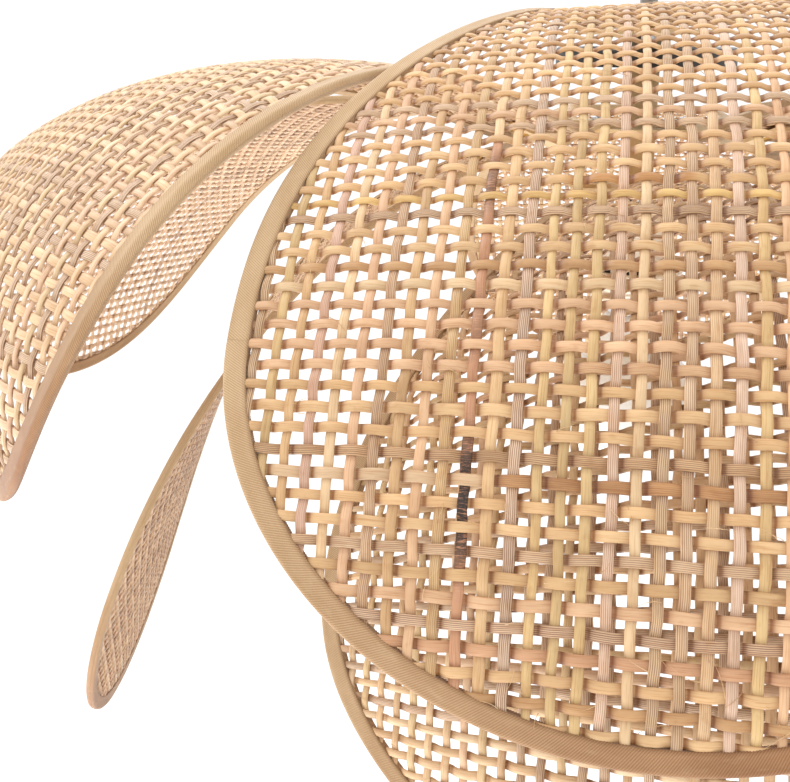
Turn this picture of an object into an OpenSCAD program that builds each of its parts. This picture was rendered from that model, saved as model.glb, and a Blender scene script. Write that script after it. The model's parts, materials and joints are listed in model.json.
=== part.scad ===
// Hanging lamp with a flower of bent cane-webbing petals round an ivory lampholder.
// Millimetres, +Z up. The origin is at the mouth of the cord grip, on the lamp's axis:
// the point the lamp hangs from. The front of the lamp faces -Y.

/* [Petals] */
// Length of a petal's webbing from its tip to its arm
petal_l = 434; // [300:1:440]
// Greatest half width of a petal
petal_hw = 136; // [90:1:138]
// Distance from a petal's tip to its widest place
tip_l = 122; // [80:1:160]
// Half width of a petal's neck, where the arm holds it
neck_hw = 42; // [30:1:46]
// Thickness of the woven webbing
web_t = 2.4; // [2:0.1:3]
// Width of the fabric tape that binds a petal's edge
bind_w = 8; // [6:0.5:10]
// Thickness of the bound edge, over the edge cane
bind_t = 4.4; // [4:0.1:5]
// Distance from the lamp's axis to a petal's neck
reach = 68; // [66:1:72]

/* [Arms and plates] */
// Width of the flat steel arm under each petal
arm_w = 16; // [12:1:18]
// Thickness of an arm
arm_t = 2; // [1.5:0.1:2.5]
// Distance that an arm runs under the webbing
arm_lap = 26; // [20:1:34]
// Diameter of the three plates that carry the arms
plate_d = 76; // [70:1:84]
// Thickness of a plate
plate_t = 2.5; // [2:0.1:3]
// Diameter of the black cover disc
disc_d = 98; // [90:1:110]
// Height of the cover disc
disc_h = 9.5; // [8:0.5:12]

/* [Stem] */
// Diameter of the hollow threaded stem
stem_d = 10; // [9:0.5:12]
// Bore of the stem, for the cord
stem_bore = 7; // [6:0.5:8]
// Diameter of the cord that the grip takes
cord_d = 6; // [5:0.5:6.5]

/* [Lampholder] */
// Outside diameter of the lampholder's skirt
holder_d = 40; // [38:1:46]
// Outside diameter of the shade ring
ring_d = 56; // [50:1:60]
// Diameter of the bulb's screw cap, an E27 one
cap_d = 26; // [26:0.1:26.2]
// Diameter of the bulb's opal globe
globe_d = 80; // [70:1:95]

/* [Hidden] */

$fn = 48;
black = "#1c1b1a";
sand = "#cdb084";
cane = "#d3ab78";
tape = "#c39c6c";
brass = "#b08d4a";
zinc = "#b9bcc0";
ceramic = "#e9e4d8";
ivory = "#e6dccb";
opal = "#f4efe4";
slack = 0.05;                    // gap between pieces that are stacked face to face

// Heights of the plates' middle planes and of the cover disc's top
upper_z = -47;
disc_top = -55;
middle_z = -98;
lower_z = -132;
nut_af = 16;                     // across the flats of the stem's nuts
nut_h = 6;

// One row per petal: heading in degrees from the front towards the left, height of the neck,
// slope of the neck, bend radius, curl that grows towards the tip (degrees per mm squared),
// roll about its own length, radius of the hollow across it, and its plate's height
PETALS = [
    [9.7, -42.7, 11.8, 345, 0.000116, -2.1, 1435, upper_z],
    [57.7, -99, 20.9, 8749, 0.000725, -3.7, 587, middle_z],
    [113.7, -87, 0.7, 1250, 0.000346, -6.4, -4260, middle_z],
    [89.8, -111, -10.5, 186, -0.000385, -1.8, -1977, lower_z],
    [8.3, -122, 13, 371, 0.000208, -16.3, 414, lower_z],
    [190, -92, 0, 400, 0.0001, 0, 1400, middle_z],
    [-94.3, -87, 0.7, 1250, 0.000346, 6.4, -4260, middle_z],
    [-70.4, -111, -10.5, 186, -0.000385, 1.8, -1977, lower_z],
    [-38.3, -99, 20.9, 8749, 0.000725, 3.7, 587, middle_z]
];

// Slope of a petal at distance t from its neck, in degrees above the horizontal
function slope(p, t) = p[2] - t / p[3] * 180 / PI - p[4] * t * t;

// Half width at distance d from the tip, from the widest place to the neck
function flank_w(d) = neck_hw + (petal_hw - neck_hw)
    * (0.5 + 0.5 * cos(180 * pow((d - tip_l) / (petal_l - tip_l), 1.1)));

// The petal's middle line as n equal steps of [distance out, height]
function spine(p, n) = [
    for (i = 0, q = [0, 0], s = petal_l / n; i <= n;
         a = slope(p, (i + 0.5) * s), q = q + s * [cos(a), sin(a)], i = i + 1) q
];
function spine_at(line, t) =
    let (n = len(line) - 1, f = max(0, min(n - 0.001, t / petal_l * n)), i = floor(f))
    line[i] + (f - i) * (line[i + 1] - line[i]);

// A point of petal p: d from its tip, u across it, h above its middle surface
function on_petal(p, line, u, d, h) =
    let (t = petal_l - d, q = spine_at(line, t), a = slope(p, t),
         out = [-sin(p[0]), -cos(p[0]), 0],
         side = [cos(p[0]), -sin(p[0]), 0],
         up = -sin(a) * out + [0, 0, cos(a)],
         across = cos(p[5]) * side - sin(p[5]) * up,
         over = cos(p[5]) * up + sin(p[5]) * side,
         bend = u / p[6] * 180 / PI)
    (reach + q[0]) * out + [0, 0, p[1] + q[1]]
    + across * (p[6] + h) * sin(bend) + over * ((p[6] + h) * cos(bend) - p[6]);

// The outline as [u, d]: half an ellipse round the tip, a flank on each side, and the
// neck's end with clipped corners
tip_n = 9;
flank_n = 9;
clip = 7;
function flank(i) = tip_l + (petal_l - clip - tip_l) * i / flank_n;
OUTLINE = concat(
    [for (i = [flank_n : -1 : 1]) [-flank_w(flank(i)), flank(i)]],
    [for (i = [-tip_n : tip_n]) [petal_hw * sin(90 * i / tip_n),
                                 tip_l * (1 - cos(90 * i / tip_n))]],
    [for (i = [1 : flank_n]) [flank_w(flank(i)), flank(i)]],
    [[neck_hw - clip, petal_l], [0, petal_l], [clip - neck_hw, petal_l]]);

// The same outline moved in by a distance
function inset(by) = [
    for (i = [0 : len(OUTLINE) - 1])
    let (n = len(OUTLINE), ahead = OUTLINE[(i + 1) % n] - OUTLINE[(i + n - 1) % n],
         l = norm(ahead))
    OUTLINE[i] + by * [-ahead[1], ahead[0]] / l
];

// Faces of a closed tube of m rings of k points
function tube_faces(m, k) = [
    for (i = [0 : m - 1]) for (j = [0 : k - 1]) for (half = [0, 1])
    let (i2 = (i + 1) % m, j2 = (j + 1) % k)
    half == 0 ? [i * k + j, i2 * k + j2, i2 * k + j] : [i * k + j, i * k + j2, i2 * k + j2]
];

// ---- Petals ----

// The bound edge: tape folded over the webbing and an edge cane, all round the outline
module petal_binding(p) {
    line = spine(p, 60);
    top = bind_t / 2;
    section = [[0, 0], [1.3, top], [bind_w - 1.2, top * 0.9], [bind_w, 0],
               [bind_w - 1.2, -top * 0.9], [1.3, -top]];
    loops = [for (s = section) inset(s[0])];
    color(tape) polyhedron(
        points = [for (i = [0 : len(OUTLINE) - 1]) for (j = [0 : len(section) - 1])
            on_petal(p, line, loops[j][i][0], loops[j][i][1], section[j][1])],
        faces = tube_faces(len(OUTLINE), len(section)));
}

// The woven sheet, a closed shell whose rows run from edge to edge under the binding
module petal_web(p) {
    line = spine(p, 60);
    edge = inset(bind_w / 2);
    last = tip_n + flank_n + flank_n + tip_n;       // index of the far flank's last point
    half = last / 2;
    cols = 6;
    c = cols + 1;
    // rows from the neck to just short of the tip: each joins a left point to a right one
    rows = [for (i = [0 : half - 1]) [edge[i], edge[last - i]]];
    n = len(rows);
    tip = edge[half];
    function skin(h) = concat(
        [for (r = rows) for (j = [0 : cols])
            let (q = r[0] + (r[1] - r[0]) * j / cols) on_petal(p, line, q[0], q[1], h)],
        [on_petal(p, line, tip[0], tip[1], h)]);
    under = n * c + 1;
    color(cane) polyhedron(
        points = concat(skin(web_t / 2), skin(-web_t / 2)),
        faces = concat(
            [for (i = [0 : n - 2]) for (j = [0 : cols - 1])
                each quad(i * c + j, i * c + j + 1, (i + 1) * c + j + 1, (i + 1) * c + j)],
            [for (i = [0 : n - 2]) for (j = [0 : cols - 1])
                each quad(under + (i + 1) * c + j, under + (i + 1) * c + j + 1,
                          under + i * c + j + 1, under + i * c + j)],
            [for (j = [0 : cols - 1]) [(n - 1) * c + j, (n - 1) * c + j + 1, n * c]],
            [for (j = [0 : cols - 1])
                [under + (n - 1) * c + j + 1, under + (n - 1) * c + j, under + n * c]],
            [for (i = [0 : n - 2])
                each quad(i * c, (i + 1) * c, under + (i + 1) * c, under + i * c)],
            [for (i = [0 : n - 2]) each quad((i + 1) * c + cols, i * c + cols,
                under + i * c + cols, under + (i + 1) * c + cols)],
            quad((n - 1) * c, n * c, under + n * c, under + (n - 1) * c),
            quad(n * c, (n - 1) * c + cols, under + (n - 1) * c + cols, under + n * c),
            [for (j = [0 : cols - 1]) each quad(j + 1, j, under + j, under + j + 1)]));
}
function quad(a, b, c, d) = [[a, b, c], [a, c, d]];

// ---- Arms that carry the petals ----

tab_in = 17;                     // where an arm starts, from the axis
tab_out = 39;                    // where it leaves its plate
rise_out = 62;                   // where it starts to follow its petal
screw_r = 25;                    // the arm's screw, from the axis
nut_m4_h = 2.4;                  // a thin nut on that screw
rivet_at = [14, 22];             // rivets along the webbing from its end
web_gap = bind_t / 2 + 0.5;      // from the webbing's middle down to the arm's top
lap_mid = arm_lap / 2;

// Puts children at distance t along petal p's neck, square to it, on its middle surface
module at_neck(p, t) {
    q = spine_at(spine(p, 60), t);
    rotate([0, 0, 180 - p[0]])
        translate([0, reach + q[0], p[1] + q[1]])
            rotate([slope(p, t), 0, 0]) rotate([0, -p[5], 0]) children();
}

// Height of the middle of an arm's tab, flat on its plate
function tab_z(p) = p[7] + plate_t / 2 + arm_t / 2 + slack;

// A flat strip, bent and twisted: its tab lies on the plate, its riser twists to the petal's
// roll, and its lap runs under the webbing. Worked out with X across and Y outwards.
function unit(v) = v / norm(v);
function mitre(a, b) = (a + b) / (1 + a * b);
module arm(p) {
    lap_z = -web_gap - arm_t / 2;
    a = slope(p, lap_mid);
    q = spine_at(spine(p, 60), lap_mid);
    out = [0, cos(a), sin(a)];
    over = [-sin(p[5]), -cos(p[5]) * sin(a), cos(p[5]) * cos(a)];
    across = cross(out, over);
    middle = [0, reach + q[0], p[1] + q[1]] + lap_z * over;
    from = [0, tab_out, tab_z(p)];
    to = middle - (lap_mid + reach - rise_out) * out;
    rise = unit(to - from);
    turn = [for (k = [0 : 3]) unit([1, 0, 0] * (3 - k) + across * k)];
    lean = [for (v = turn) unit(cross(v, rise))];
    // Each section is [middle, across, upwards]
    strip = [
        [[0, tab_in, tab_z(p)], [1, 0, 0], [0, 0, 1]],
        [from, turn[0], mitre([0, 0, 1], lean[0])],
        [from + (to - from) / 3, turn[1], lean[1]],
        [from + (to - from) * 2 / 3, turn[2], lean[2]],
        [to, across, mitre(lean[3], over)],
        [middle + lap_mid * out, across, over]
    ];
    ends = len(strip) - 1;
    color(sand) difference() {
        rotate([0, 0, 180 - p[0]]) polyhedron(
            points = [for (s = strip) for (c = [[1, 1], [-1, 1], [-1, -1], [1, -1]])
                s[0] + s[1] * c[0] * arm_w / 2 + s[2] * c[1] * arm_t / 2],
            faces = concat(
                quad(0, 1, 2, 3),
                [for (i = [0 : ends - 1]) for (j = [0 : 3])
                    each quad(4 * i + j, 4 * i + 4 + j, 4 * i + 4 + (j + 1) % 4,
                              4 * i + (j + 1) % 4)],
                quad(4 * ends + 3, 4 * ends + 2, 4 * ends + 1, 4 * ends)));
        rotate([0, 0, 180 - p[0]]) translate([0, screw_r, tab_z(p)])
            cylinder(d = 4.2, h = arm_t * 3, center = true);
        for (t = rivet_at) at_neck(p, lap_mid) translate([0, t - lap_mid, lap_z])
            cylinder(d = 3.2, h = arm_t * 3, center = true);
    }
}

// A pan-head screw through each arm's tab and its plate, with its nut
module arm_screws() {
    color(zinc) for (p = PETALS) {
        head = plate_t / 2 + arm_t + 2 * slack;
        foot = plate_t / 2 + nut_m4_h + slack;
        rotate([0, 0, 180 - p[0]]) translate([0, screw_r, p[7]]) {
            translate([0, 0, -foot - 0.4]) cylinder(d = 4, h = foot + 0.4 + head + 1);
            translate([0, 0, head]) cylinder(d = 7.4, h = 2.4);
            translate([0, 0, -foot]) cylinder(d = 8, h = nut_m4_h, $fn = 6);
        }
    }
}

// Two tubular rivets through the webbing and the arm of each petal, each with a collar that
// fills the gap between them
module arm_rivets() {
    foot = web_gap + arm_t + slack;
    color(brass) for (p = PETALS) for (t = rivet_at)
        at_neck(p, lap_mid) translate([0, t - lap_mid, 0]) {
            translate([0, 0, -foot - 1]) cylinder(d = 3.1, h = foot + 1 + web_t);
            translate([0, 0, web_t / 2 + 0.4]) cylinder(d1 = 8, d2 = 5, h = 1.2);
            translate([0, 0, -web_gap + slack]) cylinder(d = 6, h = web_gap - web_t / 2 - 0.2);
            translate([0, 0, -foot - 1]) cylinder(d = 6, h = 1);
        }
}

// ---- Stem, plates and spacers ----

stem_top = -14;
stem_bottom = -152;
module washer_disc(d, h, z, bore) {
    translate([0, 0, z]) difference() {
        cylinder(d = d, h = h);
        translate([0, 0, -1]) cylinder(d = bore, h = h + 2);
    }
}

module stem_tube() {
    color(zinc) washer_disc(stem_d, stem_top - stem_bottom, stem_bottom, stem_bore);
}

module plate(z, holes) {
    color(sand) difference() {
        washer_disc(plate_d, plate_t, z - plate_t / 2, stem_d + 0.2);
        for (p = holes) rotate([0, 0, 180 - p[0]]) translate([0, screw_r, z])
            cylinder(d = 4.2, h = plate_t * 3, center = true);
    }
}
module upper_plate() plate(upper_z, [for (p = PETALS) if (p[7] == upper_z) p]);
module middle_plate() plate(middle_z, [for (p = PETALS) if (p[7] == middle_z) p]);
module lower_plate() plate(lower_z, [for (p = PETALS) if (p[7] == lower_z) p]);

// The shallow black dish under the front petal's arm
disc_wall = 1.6;
module cover_disc() {
    color(black) rotate_extrude() difference() {
        union() {
            translate([stem_d / 2 + 0.1, disc_top - disc_wall])
                square([disc_d / 2 - 2 - stem_d / 2, disc_wall]);
            translate([disc_d / 2 - disc_wall, disc_top - disc_h])
                square([disc_wall, disc_h - 2]);
            translate([disc_d / 2 - 2, disc_top - 2]) circle(r = 2, $fn = 32);
        }
        translate([stem_d / 2, disc_top - disc_h]) square([
            disc_d / 2 - disc_wall - stem_d / 2, disc_h - disc_wall]);
    }
}

spacer_d = 16;
module spacer(top, bottom) {
    color(sand) washer_disc(spacer_d, top - bottom - 2 * slack, bottom + slack, stem_d + 0.2);
}
module upper_spacer() spacer(upper_z - plate_t / 2, disc_top);
module middle_spacer() spacer(disc_top - disc_wall, middle_z + plate_t / 2);
module lower_spacer() spacer(middle_z - plate_t / 2, lower_z + plate_t / 2);

module stem_nut(z) {
    color(black) translate([0, 0, z]) difference() {
        cylinder(d = nut_af / cos(30), h = nut_h, $fn = 6);
        translate([0, 0, -1]) cylinder(d = stem_d + 0.1, h = nut_h + 2);
    }
}
module top_nut() stem_nut(upper_z + plate_t / 2 + slack);
module bottom_nut() stem_nut(lower_z - plate_t / 2 - nut_h - slack);

// ---- Cord grip at the top ----

grip_d = 18;
module cord_grip_body() {
    color(black) difference() {
        union() {
            translate([0, 0, -30]) cylinder(d = grip_d, h = 16);
            translate([0, 0, -14]) cylinder(d = 14, h = 8);
        }
        translate([0, 0, -31]) cylinder(d = stem_d + 0.1, h = 17);
        translate([0, 0, -15]) cylinder(d = 10, h = 10);
    }
}
module cord_grip_nut() {
    color(black) difference() {
        union() {
            translate([0, 0, -13.5]) cylinder(d = grip_d, h = 9.5, $fn = 6);
            translate([0, 0, -4]) cylinder(d1 = 15, d2 = 11, h = 4);
        }
        translate([0, 0, -14]) cylinder(d = 14.1, h = 8.1);
        translate([0, 0, -7]) cylinder(d = cord_d + 0.4, h = 8);
    }
}
module cord_grip_seal() {
    color("#2a2927") washer_disc(9.8, 7.6, -13.9, cord_d);
}

// ---- Lampholder ----

cap_top = -140;                  // top of the lampholder's cap, just under the bottom nut
join_z = -164;                   // where the cap meets the skirt
skirt_end = -196;                // lower end of the skirt
holder_wall = 2;
ring_top = -176;                 // top of the shade ring
ring_h = 7;

module holder_cap() {
    r = holder_d / 2;
    color(ivory) rotate_extrude() difference() {
        union() {
            translate([stem_d / 2 + 0.05, join_z]) square([r - stem_d / 2 - 0.05, 14]);
            translate([stem_d / 2 + 0.05, join_z]) square([r - 8 - stem_d / 2, 24 - 0.3]);
            translate([r - 8, join_z + 14]) circle(r = 8, $fn = 48);
        }
        translate([0, join_z - 1]) square([r - holder_wall, 14]);
        translate([0, join_z - 1]) square([stem_d / 2 + 0.05, 30]);
        translate([r, join_z - 12]) square([12, 40]);
        translate([0, join_z - 12]) square([r, 12]);
    }
}

module holder_body() {
    r = holder_d / 2;
    color(ivory) rotate_extrude() difference() {
        union() {
            translate([r - holder_wall - 3, skirt_end]) square([holder_wall + 3, 32 - slack]);
            translate([r - 1, ring_top + 0.3]) square([2.2, 2.4]);
        }
        translate([0, skirt_end - 1]) square([r - holder_wall - 1, 40]);
        translate([r - 0.6, skirt_end - 1]) square([2, ring_top - skirt_end + 1.1]);
    }
}

// Ceramic core that carries the contacts
module holder_insert() {
    color(ceramic) washer_disc(33.6, 10, -172, 4);
}

shell_r = cap_d / 2 + 0.35;
module screw_shell() {
    color(brass) rotate_extrude() {
        translate([shell_r, -194]) square([0.8, 22 - slack]);
        translate([9, -172 - 0.8 - slack]) square([shell_r - 9 + 0.5, 0.8]);
    }
}

module centre_contact() {
    color(brass) {
        translate([-3, -8, -172.9 - slack]) cube([6, 14, 0.9]);
        translate([0, 0, -175.4]) cylinder(d = 6, h = 2.5);
    }
}

module ring_gasket() {
    color("#2a2927") washer_disc(49, 1.4, ring_top - 1.4 + 0.2, holder_d + 0.4);
}

module shade_ring() {
    r = holder_d / 2;
    color(ivory) rotate_extrude() difference() {
        union() {
            translate([r - 0.25, ring_top - 1.2 - ring_h - 0.3]) square([4, ring_h]);
            translate([r, ring_top - 1.2 - 3.3]) square([ring_d / 2 - r - 1.2, 3]);
            translate([ring_d / 2 - 1.5, ring_top - 1.2 - 1.8]) circle(r = 1.5, $fn = 24);
        }
        translate([0, ring_top - 20]) square([r - 0.2, 30]);
    }
}

// ---- Bulb ----

cap_base = -177.5;               // top of the bulb's insulator
module bulb_screw_cap() {
    color("#c9ccd0") rotate_extrude() {
        translate([cap_d / 2 - 0.7, cap_base - 26]) square([0.7, 23]);
        translate([7, cap_base - 3.8]) square([cap_d / 2 - 7, 0.8]);
    }
}
module bulb_insulator() {
    color("#101010") rotate_extrude() polygon([[4.2, cap_base - 3], [11, cap_base - 3],
        [6, cap_base - 0.6], [4.2, cap_base - 0.6]]);
}
module bulb_contact() {
    color(zinc) {
        translate([0, 0, cap_base - 3]) cylinder(d = 8.3, h = 2.4);
        translate([0, 0, cap_base - 0.6]) cylinder(d1 = 8.3, d2 = 5, h = 2.6);
    }
}
collar_top = cap_base - 26;
module bulb_collar() {
    color("#ece9e2") rotate_extrude() polygon([[8, collar_top - 20], [8, collar_top + 6],
        [12.2, collar_top + 6], [12.2, collar_top - 0.1], [15, collar_top - 2],
        [24, collar_top - 20]]);
}
globe_z = collar_top - 20 - 34;
module bulb_globe() {
    r = globe_d / 2;
    color(opal) rotate_extrude() difference() {
        translate([0, globe_z]) circle(r = r, $fn = 72);
        translate([0, globe_z]) circle(r = r - 1.4, $fn = 72);
        translate([-r - 1, globe_z - r - 1]) square([r + 1, 2 * r + 2]);
        translate([0, collar_top - 20 - slack]) square([r, r]);
    }
}
module bulb_light_board() {
    color("#f2f0ea") {
        translate([0, 0, collar_top - 19.9]) cylinder(d = 15.6, h = 10);
        translate([0, 0, collar_top - 22.1]) cylinder(d = 36, h = 1.6);
        translate([0, 0, collar_top - 20.6]) cylinder(d = 10, h = 1);
    }
}

cord_grip_body();
cord_grip_nut();
cord_grip_seal();
stem_tube();
top_nut();
upper_plate();
middle_plate();
lower_plate();
cover_disc();
upper_spacer();
middle_spacer();
lower_spacer();
bottom_nut();
arm(PETALS[0]);  // arm_a
arm(PETALS[1]);  // arm_b
arm(PETALS[2]);  // arm_c
arm(PETALS[3]);  // arm_d
arm(PETALS[4]);  // arm_e
arm(PETALS[5]);  // arm_f
arm(PETALS[6]);  // arm_g
arm(PETALS[7]);  // arm_h
arm(PETALS[8]);  // arm_i
arm_screws();
arm_rivets();
petal_web(PETALS[0]);  // petal_a_web
petal_web(PETALS[1]);  // petal_b_web
petal_web(PETALS[2]);  // petal_c_web
petal_web(PETALS[3]);  // petal_d_web
petal_web(PETALS[4]);  // petal_e_web
petal_web(PETALS[5]);  // petal_f_web
petal_web(PETALS[6]);  // petal_g_web
petal_web(PETALS[7]);  // petal_h_web
petal_web(PETALS[8]);  // petal_i_web
petal_binding(PETALS[0]);  // petal_a_binding
petal_binding(PETALS[1]);  // petal_b_binding
petal_binding(PETALS[2]);  // petal_c_binding
petal_binding(PETALS[3]);  // petal_d_binding
petal_binding(PETALS[4]);  // petal_e_binding
petal_binding(PETALS[5]);  // petal_f_binding
petal_binding(PETALS[6]);  // petal_g_binding
petal_binding(PETALS[7]);  // petal_h_binding
petal_binding(PETALS[8]);  // petal_i_binding
holder_cap();
holder_body();
holder_insert();
screw_shell();
centre_contact();
ring_gasket();
shade_ring();
bulb_screw_cap();
bulb_insulator();
bulb_contact();
bulb_collar();
bulb_globe();
bulb_light_board();
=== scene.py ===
import json
import math

import bpy
import numpy as np
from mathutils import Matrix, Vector


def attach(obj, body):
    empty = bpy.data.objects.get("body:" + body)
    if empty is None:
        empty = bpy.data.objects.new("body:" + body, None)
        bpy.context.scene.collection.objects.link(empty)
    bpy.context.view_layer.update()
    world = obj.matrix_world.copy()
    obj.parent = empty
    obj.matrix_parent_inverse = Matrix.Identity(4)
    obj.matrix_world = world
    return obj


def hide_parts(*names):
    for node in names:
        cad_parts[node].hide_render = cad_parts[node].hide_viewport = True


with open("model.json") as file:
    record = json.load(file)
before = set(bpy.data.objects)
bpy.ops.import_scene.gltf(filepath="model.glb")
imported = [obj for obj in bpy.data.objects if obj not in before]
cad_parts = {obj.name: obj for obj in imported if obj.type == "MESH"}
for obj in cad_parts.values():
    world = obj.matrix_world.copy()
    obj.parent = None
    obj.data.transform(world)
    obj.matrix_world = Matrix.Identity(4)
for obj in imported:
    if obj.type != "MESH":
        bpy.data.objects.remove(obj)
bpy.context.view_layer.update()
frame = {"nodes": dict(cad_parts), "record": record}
MM = 0.001
PI = math.pi

# ---------------------------------------------------------------- the petals' shape, in mm
PETAL_L, PETAL_HW, TIP_L, NECK_HW, REACH = 434.0, 136.0, 122.0, 42.0, 68.0
BIND_W, BIND_T = 8.0, 4.4
PITCH = 7.0                      # of the square weave
FIRST_ROW = 2.5                  # distance of row 0 from the tip
NECK_ROUND = 7.0                 # radius of the neck's corners
# heading from the front towards the left, neck height, neck slope, bend radius, curl, roll, hollow
PETALS = {
    "a": (9.7, -42.7, 11.8, 345, 0.000116, -2.1, 1435),
    "b": (57.7, -99, 20.9, 8749, 0.000725, -3.7, 587),
    "c": (113.7, -87, 0.7, 1250, 0.000346, -6.4, -4260),
    "d": (89.8, -111, -10.5, 186, -0.000385, -1.8, -1977),
    "e": (8.3, -122, 13, 371, 0.000208, -16.3, 414),
    "f": (190, -92, 0, 400, 0.0001, 0, 1400),
    "g": (-94.3, -87, 0.7, 1250, 0.000346, 6.4, -4260),
    "h": (-70.4, -111, -10.5, 186, -0.000385, 1.8, -1977),
    "i": (-38.3, -99, 20.9, 8749, 0.000725, 3.7, 587),
}


def half_width(d):
    """Half width of a petal at distance d from its tip: half an ellipse, then a soft taper to the neck."""
    d = np.asarray(d, float)
    tip = PETAL_HW * np.sqrt(np.clip(1 - ((TIP_L - d) / TIP_L) ** 2, 0, 1))
    f = np.clip((d - TIP_L) / (PETAL_L - TIP_L), 0, 1) ** 1.1
    return np.where(d < TIP_L, tip, NECK_HW + (PETAL_HW - NECK_HW) * (0.5 + 0.5 * np.cos(PI * f)))


class Petal:
    """A petal's bent middle surface: a spine from the hub, and a round hollow across it."""

    def __init__(self, heading, z, slope, bend, curl, roll, hollow):
        self.a, self.z, self.roll, self.hollow = math.radians(heading), z, math.radians(roll), hollow
        self.slope = lambda t: math.radians(slope) - t / bend - math.radians(curl) * t * t
        step, spare = 2.0, 20.0
        mid = np.arange(step / 2, PETAL_L + spare, step)
        self.t = np.concatenate([[0], mid + step / 2])
        self.r = np.concatenate([[0], np.cumsum(np.cos(self.slope(mid)) * step)])
        self.y = np.concatenate([[0], np.cumsum(np.sin(self.slope(mid)) * step)])

    def at(self, u, d, h):
        """Points in metres: u across, d from the tip, h above the middle surface, all in mm."""
        u, d, h = np.broadcast_arrays(np.asarray(u, float), d, h)
        t = PETAL_L - d
        s = self.slope(t)
        out = np.array([-math.sin(self.a), -math.cos(self.a), 0])
        side = np.array([math.cos(self.a), -math.sin(self.a), 0])
        up = -np.sin(s)[..., None] * out + np.cos(s)[..., None] * np.array([0, 0, 1.0])
        c, q = math.cos(self.roll), math.sin(self.roll)
        across, over = c * side - q * up, c * up + q * side
        bend = u / self.hollow
        spine = ((REACH + np.interp(t, self.t, self.r))[..., None] * out
                 + (self.z + np.interp(t, self.t, self.y))[..., None] * np.array([0, 0, 1.0]))
        return (spine + across * ((self.hollow + h) * np.sin(bend))[..., None]
                + over * ((self.hollow + h) * np.cos(bend) - self.hollow)[..., None]) * MM


# ---------------------------------------------------------------- mesh helpers
def put_mesh(name, points, quads, body, slot, material, **layers):
    """A smooth mesh object from arrays, riding on a body, with its material. slot is not used.
    layers are vectors per point that its material reads."""
    me = bpy.data.meshes.new(name)
    points, quads = np.asarray(points, np.float32), np.asarray(quads, np.int32)
    a, b, c, d = (points[quads[:, i]].astype(float) for i in range(4))
    if np.einsum("ij,ij->i", np.cross(c - a, d - b), (a + b + c + d) - 4 * points.mean(0)).sum() < 0:
        quads = quads[:, ::-1]
    me.vertices.add(len(points))
    me.vertices.foreach_set("co", points.ravel())
    me.loops.add(quads.size)
    me.loops.foreach_set("vertex_index", quads.ravel())
    me.polygons.add(len(quads))
    me.polygons.foreach_set("loop_start", np.arange(0, quads.size, 4, dtype=np.int32))
    me.update(calc_edges=True)
    me.validate()
    me.polygons.foreach_set("use_smooth", np.full(len(me.polygons), True))
    for key, value in layers.items():
        layer = me.attributes.new(key, "FLOAT_VECTOR", "POINT")
        layer.data.foreach_set("vector", np.asarray(value, np.float32).ravel())
    me.materials.append(material)
    ob = bpy.data.objects.new(name, me)
    bpy.context.scene.collection.objects.link(ob)
    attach(ob, body)
    return ob


def tube_quads(rings, k, closed=False):
    """Quads of a tube of rings of k points. An open tube gets its ends filled."""
    i, j = np.meshgrid(np.arange(rings if closed else rings - 1), np.arange(k), indexing="ij")
    i2, j2 = (i + 1) % rings, (j + 1) % k
    quads = [np.stack([i * k + j, i * k + j2, i2 * k + j2, i2 * k + j], -1).reshape(-1, 4)]
    if not closed:
        cap = np.array([[m, k - 1 - m, k - 2 - m, m + 1] for m in range(k // 2 - 1)])
        quads += [cap, cap[:, ::-1] + (rings - 1) * k]
    return np.concatenate(quads)


def wander(rng, x, size, length):
    """A smooth random deviation along x."""
    total = np.zeros_like(x)
    for k in range(3):
        total += np.sin(x * 2 * PI / (length * (0.6 + 0.7 * rng.random())) + rng.random() * 2 * PI)
    return total * size / 1.8


def srgb(r, g, b):
    """The linear colour of an sRGB one given in 0 to 255."""
    return tuple((v / 255 / 12.92 if v < 11 else ((v / 255 + 0.055) / 1.055) ** 2.4) for v in (r, g, b))


# ---------------------------------------------------------------- node helpers
def material(name):
    """A new node material, its tree and its shader."""
    m = bpy.data.materials.new(name)
    m.use_nodes = True
    nt = m.node_tree
    return m, nt, nt.nodes["Principled BSDF"]


def node(nt, kind, **values):
    """A node with values set on it: inputs by name (spaces as _) or number, the rest as properties."""
    n = nt.nodes.new(kind)
    for key, value in values.items():
        plug = int(key[1:]) if key[0] == "i" and key[1:].isdigit() else key.replace("_", " ")
        if isinstance(plug, int) or plug in n.inputs:
            if isinstance(value, bpy.types.NodeSocket):
                nt.links.new(value, n.inputs[plug])
            else:
                n.inputs[plug].default_value = value
        else:
            setattr(n, key, value)
    return n


def maths(nt, operation, a, b=0.0, clamp=False):
    n = node(nt, "ShaderNodeMath", i0=a, i1=b)
    n.operation, n.use_clamp = operation, clamp
    return n.outputs[0]


def ramp(nt, fac, *stops):
    """A colour ramp with stops of (position, colour)."""
    n = node(nt, "ShaderNodeValToRGB", Fac=fac)
    el = n.color_ramp.elements
    while len(el) < len(stops):
        el.new(0.5)
    for e, (pos, colour) in zip(el, stops):
        e.position, e.color = pos, (*colour, 1)
    return n.outputs["Color"]


def mix(nt, fac, a, b, blend="MIX"):
    n = nt.nodes.new("ShaderNodeMix")
    n.data_type, n.blend_type = "RGBA", blend
    for key, value in (("Factor_Float", fac), ("A_Color", a), ("B_Color", b)):
        plug = next(s for s in n.inputs if s.identifier == key)
        if isinstance(value, bpy.types.NodeSocket):
            nt.links.new(value, plug)
        else:
            plug.default_value = (*value, 1) if isinstance(value, tuple) and len(value) == 3 else value
    return next(s for s in n.outputs if s.identifier == "Result_Color")


def layer(nt, name):
    """What put_mesh stored under this name for each point."""
    n = nt.nodes.new("ShaderNodeAttribute")
    n.attribute_name = name
    return n.outputs["Vector"]


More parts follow.
